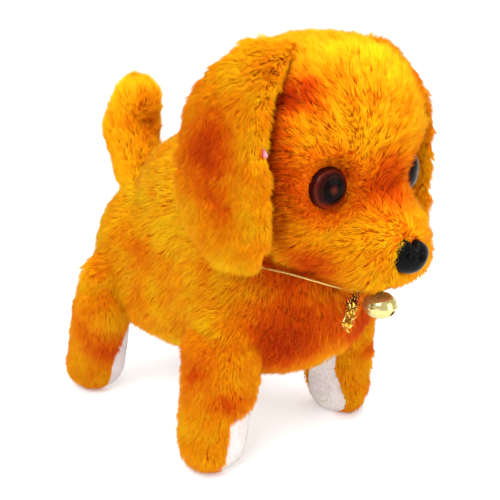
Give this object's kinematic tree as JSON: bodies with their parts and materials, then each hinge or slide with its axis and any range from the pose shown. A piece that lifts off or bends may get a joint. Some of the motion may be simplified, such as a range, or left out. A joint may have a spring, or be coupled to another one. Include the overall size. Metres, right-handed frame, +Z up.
{
  "type": "interactive plush pet",
  "caption": "Battery-driven walking plush dog with long pile fur, hanging ears, raised tail, domed eyes, a thin collar and a small bell.",
  "frame": {"origin": "on the ground under the centre of the whole toy's box", "axes": "+Z up, -Y the way the dog looks, +X the dog's left side"},
  "size_m": [0.104, 0.1762, 0.1695],
  "materials": {
    "fur": "long pile plush",
    "sole_fabric": "short nap plush",
    "ear_satin": "satin",
    "casing": "moulded, satin",
    "gear_plastic": "natural acetal",
    "lever_plastic": "moulded",
    "black_plastic": "moulded",
    "nose_plastic": "soft sheen",
    "eye_plastic": "polished, clear amber",
    "steel": "plain",
    "gold": "polished",
    "tinsel": "metallic thread",
    "board": "solder mask",
    "cell_wrap": "printed sleeve, plain",
    "lead_red": "insulated wire",
    "lead_black": "insulated wire"
  },
  "bodies": {
    "frame": {"body_plush": "fur", "casing_left": "casing", "casing_right": "casing", "casing_screw_front": "steel", "casing_screw_rear": "steel", "tail_pin": "steel", "neck_pin": "steel", "battery_box": "black_plastic", "battery_left": "cell_wrap", "battery_right": "cell_wrap", "battery_contact_left": "steel", "battery_contact_right": "steel", "battery_bridge": "steel", "motor": "steel", "speaker": "black_plastic", "sound_board": "board", "switch_body": "steel", "lead_battery": "lead_red", "lead_motor": "lead_black", "gear_axle_one": "steel", "gear_axle_two": "steel", "collar_cord": "gold", "tinsel_tie": "tinsel"},
    "crank": {"crank_gear": "gear_plastic", "crank_shaft": "steel", "crank_disc_left": "gear_plastic", "crank_disc_right": "gear_plastic"},
    "gear_two": {"gear_two": "gear_plastic"},
    "gear_one": {"gear_one": "gear_plastic"},
    "rotor": {"motor_pinion": "steel"},
    "rod_left": {"side_rod_left": "lever_plastic"},
    "rod_right": {"side_rod_right": "lever_plastic"},
    "leg_front_left": {"leg_plush_front_left": "fur", "leg_lining_front_left": "sole_fabric", "leg_lever_front_left": "lever_plastic"},
    "leg_front_right": {"leg_plush_front_right": "fur", "leg_lining_front_right": "sole_fabric", "leg_lever_front_right": "lever_plastic"},
    "leg_rear_left": {"leg_plush_rear_left": "fur", "leg_lining_rear_left": "sole_fabric", "leg_lever_rear_left": "lever_plastic"},
    "leg_rear_right": {"leg_plush_rear_right": "fur", "leg_lining_rear_right": "sole_fabric", "leg_lever_rear_right": "lever_plastic"},
    "head": {"head_plush": "fur", "neck_lever": "lever_plastic", "eye_left": "eye_plastic", "eye_right": "eye_plastic", "nose": "nose_plastic"},
    "ear_left": {"ear_plush_left": "fur", "ear_lining_left": "ear_satin"},
    "ear_right": {"ear_plush_right": "fur", "ear_lining_right": "ear_satin"},
    "tail": {"tail_plush": "fur", "tail_stem": "lever_plastic"},
    "bell": {"bell_shell": "gold", "bell_pellet": "steel"},
    "switch": {"switch_knob": "black_plastic"},
    "door": {"battery_door": "casing", "door_screw": "steel"}
  },
  "joints": [
    {"name": "crank_spin", "type": "hinge", "parent": "frame", "child": "crank", "pos_m": [0, 0.011, 0.068], "axis": [1, 0, 0], "continuous": true},
    {"name": "gear_two_spin", "type": "hinge", "parent": "frame", "child": "gear_two", "pos_m": [0, 0.02125, 0.07392], "axis": [1, 0, 0], "continuous": true},
    {"name": "gear_one_spin", "type": "hinge", "parent": "frame", "child": "gear_one", "pos_m": [0, 0.03305, 0.07289], "axis": [1, 0, 0], "continuous": true},
    {"name": "rotor_spin", "type": "hinge", "parent": "frame", "child": "rotor", "pos_m": [0, 0.04389, 0.06894], "axis": [1, 0, 0], "continuous": true},
    {"name": "stride", "type": "hinge", "parent": "frame", "child": "leg_front_left", "pos_m": [0, -0.024, 0.05], "axis": [1, 0, 0], "range_deg": [-12, 12]},
    {"name": "leg_rear_left_swing", "type": "hinge", "parent": "frame", "child": "leg_rear_left", "pos_m": [0, 0.052, 0.05], "axis": [1, 0, 0], "range_deg": [-12, 12]},
    {"name": "leg_front_right_swing", "type": "hinge", "parent": "frame", "child": "leg_front_right", "pos_m": [0, -0.024, 0.05], "axis": [1, 0, 0], "range_deg": [-12, 12]},
    {"name": "leg_rear_right_swing", "type": "hinge", "parent": "frame", "child": "leg_rear_right", "pos_m": [0, 0.052, 0.05], "axis": [1, 0, 0], "range_deg": [-12, 12]},
    {"name": "rod_left_turn", "type": "hinge", "parent": "leg_front_left", "child": "rod_left", "pos_m": [0, -0.024, 0.068], "axis": [1, 0, 0], "range_deg": [-12, 12]},
    {"name": "rod_right_turn", "type": "hinge", "parent": "leg_front_right", "child": "rod_right", "pos_m": [0, -0.024, 0.068], "axis": [1, 0, 0], "range_deg": [-12, 12]},
    {"name": "head_nod", "type": "hinge", "parent": "frame", "child": "head", "pos_m": [0, -0.02, 0.093], "axis": [-1, 0, 0], "range_deg": [0, 8]},
    {"name": "ear_left_flap", "type": "hinge", "parent": "head", "child": "ear_left", "pos_m": [0.035, -0.036, 0.164], "axis": [0, -1, 0], "range_deg": [0, 50]},
    {"name": "ear_right_flap", "type": "hinge", "parent": "head", "child": "ear_right", "pos_m": [-0.035, -0.036, 0.164], "axis": [0, 1, 0], "range_deg": [0, 50]},
    {"name": "tail_wag", "type": "hinge", "parent": "frame", "child": "tail", "pos_m": [0, 0.047, 0.089], "axis": [0, 0, 1], "range_deg": [-18, 18], "stiffness_Nm_per_rad": 0.02},
    {"name": "bell_swing", "type": "hinge", "parent": "frame", "child": "bell", "pos_m": [0, -0.0705, 0.0788], "axis": [1, 0, 0], "range_deg": [-30, 30]},
    {"name": "switch_slide", "type": "slide", "parent": "frame", "child": "switch", "axis": [1, 0, 0], "range_m": [0, 0.0038]},
    {"name": "battery_door_open", "type": "hinge", "parent": "frame", "child": "door", "pos_m": [0, -0.0169, 0.038], "axis": [-1, 0, 0], "range_deg": [0, 90]}
  ],
  "couplings": [
    {"joint": "gear_two_spin", "follows": "crank_spin", "ratio": -3.3333},
    {"joint": "gear_one_spin", "follows": "crank_spin", "ratio": 11.111},
    {"joint": "rotor_spin", "follows": "crank_spin", "ratio": -41.667},
    {"joint": "leg_rear_left_swing", "follows": "stride", "ratio": 1},
    {"joint": "leg_front_right_swing", "follows": "stride", "ratio": -1},
    {"joint": "leg_rear_right_swing", "follows": "stride", "ratio": -1},
    {"joint": "rod_left_turn", "follows": "stride", "ratio": -1},
    {"joint": "rod_right_turn", "follows": "stride", "ratio": 1}
  ]
}
